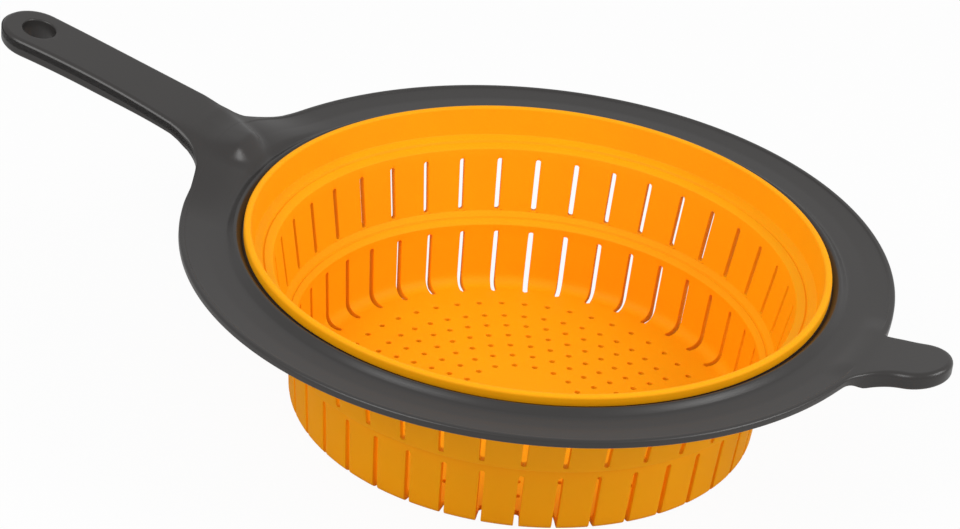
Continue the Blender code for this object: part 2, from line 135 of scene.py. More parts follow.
class FrameSizes(bpy.types.PropertyGroup):
    opening: length("Opening", 0.1086, "Radius of the opening that the basket hangs through")
    plate: length("Plate", 0.0029, "Thickness of the flange at its edge")
    edge_drop: length("Edge drop", 0.0032, "From the lip's top down to the flange's edge")
    seat: length("Seat width", 0.0018, "Width of the ledge that carries the lip")
    seat_drop: length("Seat drop", 0.0044, "From the lip's top down to the seat")
    collar: length("Collar width", 0.0058, "Width of the raised bead round the lip")
    collar_drop: length("Collar drop", 0.0023, "From the lip's top down to the raised bead")
    dish_drop: length("Dish drop", 0.0045, "From the lip's top down to the dished flange")
    edge_width: length("Edge bead", 0.0024, "Width of the bead along the flange's edge")
    edge_round: length("Edge rounding", 0.0010, "Rounding of the flange's upper edge")
    under_round: length("Lower rounding", 0.0006, "Rounding of the flange's lower edge")
    relief: length("Relief", 0.0004, "Depth of the rebate that the basket's bead sits in")
    relief_radius: length("Relief radius", 0.1116, "Outer radius of that rebate")
    arm_round: length("Arm rounding", 0.0022, "Rounding of the handle's and the tab's upper edges")
    handle_waist_half: length("Waist half width", 0.0130, "Half the width at its narrowest")
    handle_root: length("Root half width", 0.0159, "Half the handle's width at the flange")
    handle_end_half: length("Tip half width", 0.0136, "Half the handle's width at its round tip")
    handle_waist: length("Waist", 0.052, "From the flange to the handle's narrowest place")
    handle_flare: turn("Handle flare", 19.125, "Angle from its axis where it leaves the ring")
    handle_flare_end: length("Handle flare end", 0.0148, "From the flange to the end of the flare")
    handle_lift: length("Handle lift", 0.0111, "Height of the tongue over the flange's edge")
    handle_rise: length("Handle rise", 0.0212, "Climb of the handle from the flange to its tip")
    handle_arch: length("Handle arch", 0.0017, "How much the handle bows upwards")
    handle_bend: length("Handle bend", 0.0030, "Length of the bend from the tongue to the handle")
    handle_depth: length("Handle thickness", 0.0070, "Thickness of the handle")
    root_depth: length("Root thickness", 0.0056, "Thickness of the handle at its root")
    tongue_half: length("Tongue half width", 0.0140, "Half the width of the raised tongue")
    tongue_length: length("Tongue length", 0.0236, "Length over which it narrows to a round end")
    tongue_start: length("Tongue start", 0.0070, "From the flange outwards to where it narrows")
    tongue_round: length("Tongue rounding", 0.0026, "Rounding of the tongue's upper edge")
    swell: length("Swell", 0.0500, "How far to each side the flange swells up to the handle")
    swell_core: length("Swell core", 0.0100, "Half the width over which the swelling is full")
    hole_radius: length("Hanging hole", 0.0066, "Radius of the hole in the handle's end")
    hole_margin: length("Hole margin", 0.0148, "From the handle's tip to the hole's middle")
    hole_collar: length("Hole collar", 0.0024, "Height and wall of the collar under the hole")
    tab_half_width: length("Tab half width", 0.0134, "Half the tab's width near its tip")
    tab_root: length("Tab root", 0.0128, "Half the tab's width at its root")
    tab_flare: turn("Tab flare", 11.8125, "Angle from its axis where it leaves the ring")
    tab_corner: turn("Tab corner", 5.625, "Angle from its axis where its straight side starts")
    tab_flare_end: length("Tab flare end", 0.0140, "From the flange to the end of the tab's flare")
    tab_rise: length("Tab rise", 0.0039, "Climb of the tab's top from the flange's edge to its tip")
    tab_depth: length("Tab thickness", 0.0064, "Thickness of the tab near its tip")
    core_wall: length("Core wall", 0.0024, "Wall left round the pockets under handle and tab")
    core_rib: length("Core rib", 0.0018, "Rib between the pockets")


class SiliconeLook(bpy.types.PropertyGroup):
    colour: hex_colour("#FFA704")
    roughness: dullness(0.6)


class NylonLook(bpy.types.PropertyGroup):
    colour: hex_colour("#312F2E")
    roughness: dullness(0.32)


class CameraView(bpy.types.PropertyGroup):
    azimuth: turn("Azimuth", -68.8, "Side that the camera looks from, from the tab's direction")
    elevation: turn("Elevation", 29.34, "Angle over the flange")
    roll: turn("Roll", 6.208, "Tilt of the picture")
    distance: length("Distance", 1.3946, "From the camera to the middle of the lip")
    aside: length("Aside", 0.02204, "How far the lip's middle lies right of the picture's middle")
    above: length("Above", 0.00875, "How far the lip's middle lies above the picture's middle")
    lens: setting("Lens", 140.37, "Focal length in mm on a 36 mm sensor")


class StudioLight(bpy.types.PropertyGroup):
    sky: setting("Room light", 0.60, "Strength of the even white room light")
    key: setting("Key light", 6.0, "Power of the softbox at the front left, in watts")
    side: setting("Side light", 6.5, "Power of the softbox at the right, in watts")


def linear(code):
    """The linear colour of an sRGB hex value."""
    channels = [int(code[place : place + 2], 16) / 255 for place in (1, 3, 5)]
    return [c / 12.92 if c <= 0.04045 else ((c + 0.055) / 1.055) ** 2.4 for c in channels] + [1.0]


def shade_of(colour, share):
    """A lighter or darker shade of a linear colour."""
    return [min(channel * share, 1) for channel in colour[:3]] + [1.0]


def add_node(tree, kind, settings=None, **inputs):
    """Adds a node, sets its properties, and sets or links its inputs by name, _ for a space."""
    made = tree.nodes.new(kind)
    for name, value in (settings or {}).items():
        setattr(made, name, value)
    for name, value in inputs.items():
        enabled = [socket for socket in made.inputs if socket.enabled]
        socket = next(socket for socket in enabled if socket.name == name.replace("_", " "))
        if isinstance(value, bpy.types.NodeSocket):
            tree.links.new(value, socket)
        else:
            socket.default_value = value
    return made


def new_material(name):
    made = bpy.data.materials.new(name)
    made.use_nodes = True
    made.node_tree.nodes.clear()
    return made


def moulded(name, look, spread, cloud, grain, depth, strength, uneven=0, **finish):
    """A moulded plastic, darker and lighter by the spread in clouds, with the mould's fine grain.

    Where it is uneven, the clouds are also glossier and duller than the look's roughness.
    """
    made = new_material(name)
    tree = made.node_tree
    place = add_node(tree, "ShaderNodeTexCoord").outputs["Object"]
    clouds = add_node(tree, "ShaderNodeTexNoise", Vector=place, **cloud).outputs["Fac"]
    dark, light = (shade_of(linear(look.colour), 1 + side * spread) for side in (-1, 1))
    tone = add_node(tree, "ShaderNodeMix", {"data_type": "RGBA"}, Factor=clouds, A=dark, B=light)
    roughness = look.roughness
    if uneven:
        low, high = roughness - uneven, roughness + uneven
        uneven_skin = add_node(tree, "ShaderNodeMapRange", Value=clouds, To_Min=low, To_Max=high)
        roughness = uneven_skin.outputs["Result"]
    height = add_node(tree, "ShaderNodeTexNoise", Vector=place, **grain).outputs["Fac"]
    skin = add_node(tree, "ShaderNodeBump", Strength=strength, Distance=depth, Height=height)
    shader = add_node(
        tree,
        "ShaderNodeBsdfPrincipled",
        Base_Color=next(socket for socket in tone.outputs if socket.enabled),
        Roughness=roughness,
        Normal=skin.outputs["Normal"],
        **finish,
    )
    add_node(tree, "ShaderNodeOutputMaterial", Surface=shader.outputs["BSDF"])
    return made


def silicone_rubber(look):
    """Moulded silicone rubber: light goes a little way in, and the skin has a soft, dull sheen."""
    return moulded(
        "silicone rubber moulded",
        look,
        spread=0.05,
        # Pigment mixed in by milling leaves clouds about 20 mm across, hardly lighter or darker
        cloud={"Scale": 50.0, "Detail": 3.0, "Roughness": 0.55},
        # The mould's satin grain is 0.1 mm and is drawn three times coarser, so that it shows
        grain={"Scale": 3300.0, "Detail": 2.0},
        depth=0.00004,
        strength=0.15,
        IOR=1.41,
        Specular_IOR_Level=0.18,
        Subsurface_Weight=0.1,
        Subsurface_Radius=(0.0020, 0.0008, 0.0002),
        Subsurface_Scale=1.0,
    )


def moulded_nylon(look):
    """Glass-filled nylon from an eroded mould: dark satin, its fine grain breaks up highlights."""
    return moulded(
        "glass-filled nylon moulded",
        look,
        spread=0.08,
        # Flow of the melt, about 30 mm across: a little lighter and duller in places
        cloud={"Scale": 35.0, "Detail": 4.0, "Roughness": 0.6},
        # The eroded mould's grain is 0.15 mm and is drawn three times coarser, so that it shows
        grain={"Scale": 2200.0, "Detail": 3.0},
        depth=0.00005,
        strength=0.25,
        uneven=0.05,
        IOR=1.53,
        Specular_IOR_Level=0.4,
    )


def ease(value):
    """0 to 1 with level ends."""
    value = min(max(value, 0), 1)
    return value * value * (3 - 2 * value)


def between(low, high, share):
    return low + (high - low) * share


def rounded(*corners):
    """An open outline of (radius, height) points through (radius, height, rounding) corners."""
    points = []
    for place, (x, y, rounding) in enumerate(corners):
        corner = Vector((x, y))
        if rounding == 0:
            points.append(corner)
            continue
        back = (Vector(corners[place - 1][:2]) - corner).normalized()
        ahead = (Vector(corners[place + 1][:2]) - corner).normalized()
        half = back.angle(ahead) / 2
        reach = rounding / math.tan(half)
        middle = corner + (back + ahead).normalized() * (rounding / math.sin(half))
        spoke = corner + back * reach - middle
        sweep = spoke.angle_signed(corner + ahead * reach - middle)
        points += [middle + spoke] + swept(middle, spoke, sweep, round(abs(sweep) / arc_step))
    return points


def swept(middle, spoke, sweep, steps):
    """Points on an arc round the middle, without its start, in two steps or more."""
    steps = max(2, steps)
    turns = [Matrix.Rotation(-sweep * step / steps, 2) for step in range(1, steps + 1)]
    return [middle + turned @ spoke for turned in turns]


def divided(start, end, count):
    """Points on a straight line, without its start."""
    return [Vector(start).lerp(Vector(end), step / count) for step in range(1, count + 1)]


def finely(points, most):
    """The outline with more points, so that no step is longer than most."""
    fine = [points[0]]
    for start, end in zip(points, points[1:]):
        fine += divided(start, end, max(1, math.ceil((end - start).length / most)))
    return fine


def turn_outline(bm, points, steps, start=0, marks=(), layer=None):
    """Spins an outline of (radius, height) points round Z. The marks go to every copy.

    A sixteenth of the turn is spun, and then doubled four times, because a long spin is slow.
    """
    placed = Matrix.Rotation(start, 3, "Z")
    verts = [bm.verts.new(placed @ Vector((radius, 0, height))) for radius, height in points]
    for vert, mark in zip(verts, marks):
        vert[layer] = mark
    edges = [bm.edges.new(pair) for pair in zip(verts, verts[1:])]
    centre, axis = (0, 0, 0), (0, 0, 1)
    angle = 2 * math.pi / 2**doublings
    steps //= 2**doublings
    bmesh.ops.spin(bm, geom=verts + edges, cent=centre, axis=axis, angle=angle, steps=steps)
    for _ in range(doublings):
        whole = bm.verts[:] + bm.edges[:] + bm.faces[:]
        copied = bmesh.ops.duplicate(bm, geom=whole)["geom"]
        copies = [item for item in copied if isinstance(item, bmesh.types.BMVert)]
        turned = Matrix.Rotation(angle, 3, "Z")
        bmesh.ops.rotate(bm, cent=centre, matrix=turned, verts=copies)
        angle *= 2
    bmesh.ops.remove_doubles(bm, verts=bm.verts, dist=merge_distance)


def extruded(bm, loop):
    """Extrudes a loop of edges. Returns the new vertices and the new loop."""
    made = bmesh.ops.extrude_edge_only(bm, edges=loop)["geom"]
    verts = [item for item in made if isinstance(item, bmesh.types.BMVert)]
    edges = [item for item in made if isinstance(item, bmesh.types.BMEdge)]
    ends = set(verts)
    return verts, [edge for edge in edges if ends.issuperset(edge.verts)]


def circle(bm, steps, radius, place):
    """The edges of a level circle."""
    made = bmesh.ops.create_circle(bm, cap_ends=False, segments=steps, radius=radius, matrix=place)
    return list({edge for vert in made["verts"] for edge in vert.link_edges})


def soften(bm, edges, reach, segments):
    bmesh.ops.bevel(
        bm, geom=edges, offset=reach, segments=segments, profile=0.5, affect="EDGES", material=-1
    )


def join(bm, part):
    """Adds the part to the bmesh, joined where their edges meet."""
    carrier = bpy.data.meshes.new("carrier")
    part.to_mesh(carrier)
    part.free()
    bm.from_mesh(carrier)
    bpy.data.meshes.remove(carrier)
    open_verts = {vert for edge in bm.edges if edge.is_boundary for vert in edge.verts}
    bmesh.ops.remove_doubles(bm, verts=list(open_verts), dist=merge_distance)


def linked(name, data):
    """A new object of the data, in the scene."""
    made = bpy.data.objects.new(name, data)
    bpy.context.scene.collection.objects.link(made)
    return made


def object_of(name, bm, material=None):
    mesh = bpy.data.meshes.new(name)
    bm.to_mesh(mesh)
    bm.free()
    if material:
        mesh.materials.append(material)
    return linked(name, mesh)


def closed_object(name, bm, material=None):
    """An object of a shape that has to be closed, with its faces turned outwards."""
    bmesh.ops.recalc_face_normals(bm, faces=bm.faces)
    open_edges = sum(not edge.is_manifold for edge in bm.edges)
    if open_edges:
        raise RuntimeError(f"{name} has {open_edges} open edges")
    return object_of(name, bm, material)


def smooth(piece):
    """Shades the piece smooth up to its sharp edges."""
    piece.data.shade_smooth()
    piece.data.set_sharp_from_angle(angle=sharp_angle)


# The basket

upper_slot_mark = 1
lower_slot_mark = 2
upper_slot_rows = 12
lower_slot_rows = 6
corner_rows = 6
floor_rows = 2

# Where the upper slots start and end, and where the wall ends outside, in shares of its height
slots_from = 0.150
slots_to = 0.975
outer_slots_to = 0.99
outer_wall_to = 1.05

# Across a fold: share of its width, and of the groove's depth
groove_corners = ((0.40, 0), (0.47, 1), (0.56, 0))

# Rings of holes in the floor. Each has six holes more than the one inside it, but for the outermost
even_rings = range(3, 9)
holes_more = 6
outermost_holes = 48
hole_sides = 12


def marked(points, mark=0):
    return [(point, mark) for point in points]


def upper_run(start, end):
    """Rows of the upper slots down one side of the wall."""
    return marked([Vector(start)] + divided(start, end, upper_slot_rows), upper_slot_mark)


def lower_run(wall_top, foot_radius, level, rounding, end_radius):
    """Rows of the lower slots: down one side of the wall, round the corner and along the floor."""
    corner = rounded((*wall_top, 0), (foot_radius, level, rounding), (end_radius, level, 0))
    start, end = corner[1], corner[-2]
    middle = Vector((end[0], end[1] + rounding))
    spoke = start - middle
    rows = [wall_top] + divided(wall_top, start, lower_slot_rows)
    rows += swept(middle, spoke, spoke.angle_signed(end - middle), corner_rows)
    return marked(rows + divided(end, (end_radius, level), floor_rows), lower_slot_mark)


def stepped(start, end, sizes):
    """The corners of the groove along the middle of a fold, which lets it bend."""
    corners = []
    for share, deep in groove_corners:
        radius, level = (between(start[axis], end[axis], share) for axis in (0, 1))
        corners.append((radius, level - sizes.groove * deep, sizes.groove / 4))
    return corners


def basket_outline(sizes):
    """The basket's open section from the floor up the inside, over the lip and down the outside.

    Returns its points, each with a mark: which slots it bounds, if any.
    """
    wall, thin = sizes.wall, sizes.fold_wall
    soft, crisp = thin / 3, thin / 8
    lip_middle = (sizes.lip_radius - sizes.lip_width / 2, rim_top, 0)
    band_top = sizes.lip_radius - sizes.lip_width
    band_foot = band_top - sizes.band_taper
    lip_foot = rim_top - sizes.lip_height
    ledge = rim_top - sizes.band_depth
    upper_in = (band_foot - sizes.fold_width, ledge - sizes.fold_drop)
    upper_foot = (upper_in[0] - sizes.upper_taper, upper_wall_low + thin / 2)
    lower_in = (upper_foot[0] - sizes.middle_width, upper_foot[1] - sizes.middle_drop)
    lower_foot = lower_in[0] - sizes.lower_taper
    slot_top = lower_in[1] - sizes.slot_gap

    def on_upper(share, side=0):
        radius, level = (between(upper_in[axis], upper_foot[axis], share) for axis in (0, 1))
        return (radius + side, level)

    # Inside, from the lip down
    first = rounded(
        lip_middle,
        (band_top, rim_top, thin * 0.6),
        (band_foot, ledge, soft),
        *stepped((band_foot, ledge), upper_in, sizes),
        (*upper_in, soft),
        (*on_upper(slots_from), 0),
    )
    second = rounded(
        (*on_upper(slots_to), 0),
        (*upper_foot, soft),
        *stepped(upper_foot, lower_in, sizes),
        (*lower_in, soft),
        (lower_in[0], slot_top, 0),
    )
    inside = marked(first[:-1]) + upper_run(on_upper(slots_from), on_upper(slots_to))
    inside += marked(second[1:-1])
    inside += lower_run(second[-1], lower_foot, floor_top, sizes.corner, sizes.slot_end)
    inside += marked([Vector((sizes.disc_radius, floor_top))])

    # Outside, from the lip down
    band_out = band_top + thin - sizes.band_taper * sizes.lip_height / sizes.band_depth
    bead = rim_top - sizes.bead_drop
    third = rounded(
        lip_middle,
        (sizes.lip_radius, rim_top, sizes.lip_width * 0.44),
        (sizes.lip_radius, lip_foot, soft),
        (band_out, lip_foot, crisp),
        (band_out, bead, crisp),
        (band_out + sizes.bead_reach, bead - thin / 4, soft),
        (band_foot + thin, bead - 2 * thin, soft),
        (band_foot + thin, ledge - thin, thin / 2),
        (upper_in[0] + wall, upper_in[1] - thin, soft),
        (*on_upper(slots_from, wall), 0),
    )
    fourth = rounded(
        (*on_upper(outer_slots_to, wall), 0),
        (*on_upper(outer_wall_to, wall), soft),
        (lower_in[0] + wall, lower_in[1] - thin / 2, thin / 4),
        (lower_in[0] + wall, slot_top - thin * 0.7, 0),
    )
    outside = marked(third[1:-1])
    outside += upper_run(on_upper(slots_from, wall), on_upper(outer_slots_to, wall))
    outside += marked(fourth[1:-1])
    outside += lower_run(fourth[-1], lower_foot + wall, 0, sizes.corner * 0.6, sizes.slot_end)
    outside += marked([Vector((sizes.disc_radius, 0))])
    return inside[::-1] + outside


def slot_pitch(sizes):
    return 2 * math.pi / sizes.slot_count


def slot_offset(place, sizes):
    """Angle from the nearest slot's middle. The handle's axis lies between two slots."""
    pitch = slot_pitch(sizes)
    return math.atan2(place.y, place.x) % pitch - pitch / 2


def slot_number(place, sizes):
    return round(math.atan2(place.y, place.x) / slot_pitch(sizes) - 0.5) % sizes.slot_count


def cut_slots(bm, layer, sizes):
    """Opens the slots' columns between inside and outside, gives them walls and rounds them."""
    half_column = slot_pitch(sizes) / columns_per_slot / 2
    for vert in bm.verts:
        offset = slot_offset(vert.co, sizes)
        if vert[layer] and abs(offset) < 1.5 * half_column:
            half_slot = math.asin(sizes.slot_width / 2 / vert.co.xy.length)
            wanted = math.copysign(half_slot, offset)
            vert.co = Matrix.Rotation(wanted - offset, 3, "Z") @ vert.co
    doomed = []
    for face in bm.faces:
        marks = {vert[layer] for vert in face.verts}
        offset = slot_offset(face.calc_center_median(), sizes)
        if len(marks) == 1 and 0 not in marks and abs(offset) < half_column / 2:
            doomed.append(face)
    kept_open = {edge for edge in bm.edges if edge.is_boundary}
    bmesh.ops.delete(bm, geom=doomed, context="FACES")
    loops = {}
    for edge in bm.edges:
        if edge.is_boundary and edge not in kept_open:
            middle = (edge.verts[0].co + edge.verts[1].co) / 2
            key = (edge.verts[0][layer], slot_number(middle, sizes))
            loops.setdefault(key, []).append(edge)
    for edges in loops.values():
        for face in bmesh.ops.bridge_loops(bm, edges=edges)["faces"]:
            face.material_index = 1
    corners = []
    for edge in bm.edges:
        walls = [face for face in edge.link_faces if face.material_index == 1]
        if len(walls) == 2 and walls[0].normal.angle(walls[1].normal, 0) > math.radians(60):
            corners.append(edge)
    soften(bm, corners, sizes.slot_width * 0.42, 3)
    rims = []
    for edge in bm.edges:
        kinds = [face.material_index for face in edge.link_faces]
        if len(kinds) == 2 and sum(kinds) == 1:
            rims.append(edge)
    soften(bm, rims, sizes.slot_soft, 2)
    for face in bm.faces:
        face.material_index = 0


def hole_places(sizes):
    """Angle and radius of every floor hole."""
    rings = [(holes_more * ring, ring * sizes.hole_pitch) for ring in even_rings]
    for count, radius in rings + [(outermost_holes, sizes.outer_holes)]:
        for number in range(count):
            yield math.pi + 2 * math.pi * number / count, radius


def add_hole(bm, angle, radius, sizes):
    """One hole's rounded wall from the floor's top to its underside. Returns its two open rims."""
    soft = sizes.hole_soft
    wide = sizes.hole_radius + soft
    narrow = sizes.hole_radius / wide
    centre = (radius * math.cos(angle), radius * math.sin(angle), floor_top)
    place = Matrix.Translation(centre)
    top = rim = circle(bm, hole_sides, wide, place)
    for scale, level in ((narrow, floor_top - soft), (1, soft), (1 / narrow, 0)):
        verts, rim = extruded(bm, rim)
        bmesh.ops.scale(bm, vec=(scale, scale, 1), space=place.inverted(), verts=verts)
        bmesh.ops.translate(bm, vec=(0, 0, level - verts[0].co.z), verts=verts)
    return top, rim


def add_floor(bm, sizes, turned):
    """Adds the perforated disc: two edge circles and the holes, filled above and below."""
    disc = bmesh.new()
    steps = sizes.slot_count * columns_per_slot
    rims = {floor_top: [], 0: []}
    for level, edges in rims.items():
        place = Matrix.Rotation(turned, 4, "Z") @ Matrix.Translation((0, 0, level))
        edges += circle(disc, steps, sizes.disc_radius, place)
    for angle, radius in hole_places(sizes):
        top, bottom = add_hole(disc, angle, radius, sizes)
        rims[floor_top] += top
        rims[0] += bottom
    for edges in rims.values():
        bmesh.ops.triangle_fill(
            disc, use_beauty=True, use_dissolve=False, edges=edges, normal=(0, 0, 1)
        )
    join(bm, disc)


class OBJECT_OT_insert_basket(bpy.types.Operator):
    """Models the folding basket as one silicone moulding"""

    bl_idname = "object.insert_basket"
    bl_label = "Basket"

    def execute(self, context):
        sizes = context.scene.insert_basket
        bm = bmesh.new()
        layer = bm.verts.layers.int.new("slot")
        points, marks = zip(*basket_outline(sizes))
        columns = sizes.slot_count * columns_per_slot
        turn_outline(bm, points, columns, math.pi / columns, marks, layer)
        cut_slots(bm, layer, sizes)
        add_floor(bm, sizes, math.pi / columns)
        look = silicone_rubber(context.scene.insert_silicone)
        basket = closed_object("basket", bm, look)
        smooth(basket)
        replaced = ("basket_rim", "upper_fold", "upper_wall", "middle_fold", "lower_wall")
        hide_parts(*replaced, "base_grille")
        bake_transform(basket)
        return {"FINISHED"}


# The frame

flare_rows = 18
handle_side_rows = 34
tab_side_rows = 8
tip_rows = 12
hole_rim_steps = 4
pocket_count = 4

# How long a flare follows the ring and then the arm's side, in shares of its span
handle_pulls = (0.34, 0.58)
tab_pulls = (0.36, 0.36)
flare_fineness = 8
flare_bulge = 1.2

# How the flange swells up to the handle, and how steep the tongue on it is
swell_power = 0.6
swell_start = 0.2
tongue_power = 1.5
tongue_steepness = 2.2
tongue_front = 0.55
tongue_blend = 0.24

# How the tab climbs, grows thicker along its half width, and fills the dish along its root
tab_power = 1.3
tab_growth = 0.6
pad_growth = 0.8


def frame_outline(sizes):
    """The ring's section from the opening's foot over the top to the underside."""
    edge = rim_top - sizes.edge_drop
    bottom = edge - sizes.plate
    seat = rim_top - sizes.seat_drop
    collar = rim_top - sizes.collar_drop
    dish = rim_top - sizes.dish_drop
    seat_out = sizes.opening + sizes.seat
    collar_out = seat_out + sizes.collar
    bead_in = flange_radius - sizes.edge_width
    step = sizes.edge_round * 0.55
    relief = bottom + sizes.relief
    section = rounded(
        (sizes.opening, relief, 0),
        (sizes.opening, seat, sizes.under_round * 0.6),
        (seat_out, seat, sizes.under_round * 0.5),
        (seat_out + sizes.collar * 0.4, collar, sizes.collar * 0.2),
        (collar_out - sizes.collar * 0.45, collar, sizes.collar * 0.22),
        (collar_out, dish, sizes.collar * 0.35),
        (between(collar_out, bead_in, 0.5), dish, 0),
        (bead_in, edge - step, step * 0.4),
        (bead_in + step, edge, step * 0.8),
        (flange_radius, edge, sizes.edge_round),
        (flange_radius, bottom, sizes.under_round),
        (sizes.relief_radius, bottom, 0),
        (sizes.relief_radius, relief, 0),
    )
    return finely(section, flange_radius / 115)


def drop_of(point, sizes):
    """How far a point of the section lies below its own upper plane.

    Above the lower plane it is negative. It keeps the roundings' size where an arm is thicker.
    """
    radius, level = point
    edge = rim_top - sizes.edge_drop
    bottom = edge - sizes.plate
    if level < bottom + sizes.under_round * 1.01:
        near_edge = radius > flange_radius - sizes.under_round * 1.01
        return -max(level - bottom, merge_distance) if near_edge else -merge_distance
    return edge - level if radius > flange_radius - sizes.edge_round * 1.01 else 0


def soft_ramp(value, bend):
    """Level before 0 and climbing one to one after it, with a soft bend of that length."""
    return (value + math.hypot(value, bend)) / 2


def handle_width(sizes, distance):
    """Half the handle's width: it narrows to the waist and widens again to the tip."""
    share = distance / sizes.handle_waist - 1
    if share < 0:
        return between(sizes.handle_waist_half, sizes.handle_root, share * share)
    span = handle_tip - sizes.handle_end_half - flange_radius - sizes.handle_waist
    share *= sizes.handle_waist / span
    return between(sizes.handle_waist_half, sizes.handle_end_half, share * share)


def handle_top(sizes, along):
    """Height of the flat top at a distance along the handle's axis. Over the flange it is level."""
    beyond = soft_ramp(along - flange_radius - sizes.edge_round, sizes.handle_bend)
    share = beyond / (handle_tip - flange_radius)
    rise = sizes.handle_rise * share + 4 * sizes.handle_arch * share * (1 - share)
    return rim_top - sizes.edge_drop + (sizes.handle_lift + rise)


def handle_thickness(sizes, along):
    collar_out = sizes.opening + sizes.seat + sizes.collar
    root_end = flange_radius + sizes.handle_waist_half
    rooting = ease((along - collar_out) / (root_end - collar_out))
    thickening = ease((along - root_end) / (3 * sizes.handle_waist_half))
    root = between(sizes.plate, sizes.root_depth, rooting)
    return between(root, sizes.handle_depth, thickening)


def tongue_distance(sizes, along, across):
    """How far a place lies outside the tongue's outline, which has a round end on the flange."""
    reach = max(flange_radius + sizes.tongue_start - along, 0) / sizes.tongue_length
    side = across / sizes.tongue_half
    size = math.sqrt(reach**tongue_power + side * side)
    if size == 0:
        return -sizes.tongue_half
    ahead = tongue_power / 2 * reach ** (tongue_power - 1) / sizes.tongue_length
    slope = math.hypot(ahead, side / sizes.tongue_half) / size
    return (size - 1) / max(slope, 1 / sizes.tongue_length)


def handle_share(sizes, along, across, wall):
    """How much of the handle's height a place has: 1 on the handle, 0 on the plain flange.

    The flange swells up to the handle, and the tongue stands on the swelling with steep sides.
    The underside is the same shape, drawn in by the wall.
    """
    radius = math.hypot(along, across)
    spread = ease((sizes.swell - abs(across)) / (sizes.swell - sizes.swell_core))
    start = sizes.opening + sizes.seat + sizes.collar / 2
    end = flange_radius + sizes.tongue_start
    climb = min(max((radius - start) / (end - start), 0), 1)
    swelling = spread * climb**swell_power * ease(climb / swell_start)
    outside = soft_ramp(tongue_distance(sizes, along, across) + wall, sizes.tongue_round)
    steepness = tongue_steepness / (handle_top(sizes, along) - rim_top + sizes.dish_drop)
    front = radius - sizes.opening - sizes.seat - sizes.tongue_round / 2
    tongue = max(1 - steepness * outside, 0) * ease(front / (sizes.tongue_length * tongue_front))
    blended = soft_ramp(tongue - swelling, tongue_blend) + swelling - tongue_blend / 2
    past = ease((along - end) / (sizes.handle_flare_end - sizes.tongue_start))
    return between(min(blended, 1), 1, past)


def tab_width(sizes, distance):
    share = ease(distance / sizes.tab_flare_end)
    return between(sizes.tab_root, sizes.tab_half_width, share)


def tab_top(sizes, along):
    share = max(along - flange_radius, 0) / (tab_tip - flange_radius)
    return rim_top - sizes.edge_drop + sizes.tab_rise * share**tab_power


def tab_thickening(sizes, along):
    """0 on the flange and 1 on the tab, along its axis."""
    start = flange_radius * math.cos(sizes.tab_flare) - sizes.edge_width
    return ease((along - start) / (sizes.tab_half_width * tab_growth))


def tab_thickness(sizes, along):
    return between(sizes.plate, sizes.tab_depth, tab_thickening(sizes, along))


def tab_share(sizes, along, across, wall):
    """1 on the tab and on its pad, which fills the flange's dish up to the edge, and 0 elsewhere.

    Below, the whole flare is thick too.
    """
    inwards = math.hypot(along, across) - flange_radius + sizes.tab_root
    outside = max(abs(across) - sizes.tab_root, 0) / sizes.tab_root
    share = ease(inwards / (sizes.tab_root * pad_growth)) * (1 - ease(outside))
    return max(share, tab_thickening(sizes, along)) if wall > 0 else share


class Arm(NamedTuple):
    """What tells the handle from the tab: its side of the ring, sizes and shape."""

    direction: int
    tip: float
    tip_half: float
    flare_end: float
    side_rows: int
    pulls: tuple
    width: Callable
    top: Callable
    thickness: Callable
    share: Callable


def handle_and_tab(sizes):
    handle_ends = (handle_tip, sizes.handle_end_half, sizes.handle_flare_end)
    handle_shape = (handle_width, handle_top, handle_thickness, handle_share)
    tab_ends = (tab_tip, sizes.tab_half_width, sizes.tab_flare_end)
    tab_shape = (tab_width, tab_top, tab_thickness, tab_share)
    return (
        Arm(-1, *handle_ends, handle_side_rows, handle_pulls, *handle_shape),
        Arm(1, *tab_ends, tab_side_rows, tab_pulls, *tab_shape),
    )


def grown_round(sizes, distance):
    """How much larger than the flange's own a rounding is at a distance from the flange."""
    grown = ease(distance / sizes.handle_waist_half)
    return between(1, sizes.arm_round / sizes.edge_round, grown)


def lift_arms(bm, layer, sizes):
    """Raises points to the handle's and the tab's heights and scales their roundings."""
    handle, tab = handle_and_tab(sizes)
    for vert in bm.verts:
        along, across = abs(vert.co.x), vert.co.y
        drop = vert[layer]
        arm = handle if vert.co.x < 0 else tab
        if arm is handle and along < sizes.opening and abs(across) > sizes.swell:
            continue
        level = arm.top(sizes, along)
        if drop < 0:
            level -= arm.thickness(sizes, along)
        amount = arm.share(sizes, along, across, sizes.core_wall if drop < 0 else 0)
        scale = grown_round(sizes, vert.co.xy.length - flange_radius)
        vert.co.z = between(vert.co.z + drop, level, amount) - drop * scale


def flare_side(sizes, arm, angle, end, inset):
    """A flare's outline from the ring at an angle to an arm's side, tangent to both."""
    start = Vector((flange_radius * math.cos(angle), flange_radius * math.sin(angle)))
    finish = Vector((end, arm.width(sizes, end - flange_radius)))
    nudge = merge_distance
    widening = arm.width(sizes, end + nudge - flange_radius) - finish.y
    side = Vector((nudge, widening)).normalized()
    span = (finish - start).length
    first = start + Vector((math.sin(angle), -math.cos(angle))) * span * arm.pulls[0]
    second = finish - side * span * arm.pulls[1]
    steps = flare_rows * flare_fineness
    curve = interpolate_bezier(start, first, second, finish, steps + 1)
    points = []
    for place in range(flare_fineness, len(curve), flare_fineness):
        ahead = side
        if place < steps:
            ahead = (curve[place + 1] - curve[place - 1]).xy.normalized()
        points.append((curve[place].x + ahead.y * inset, curve[place].y - ahead.x * inset))
    return points


def straight_side(sizes, arm, start, end, steps, inset):
    """Outline along an arm's side, after its start."""
    points = []
    for step in range(1, steps + 1):
        along = between(start, end, step / steps)
        points.append((along, arm.width(sizes, along - flange_radius) - inset))
    return points


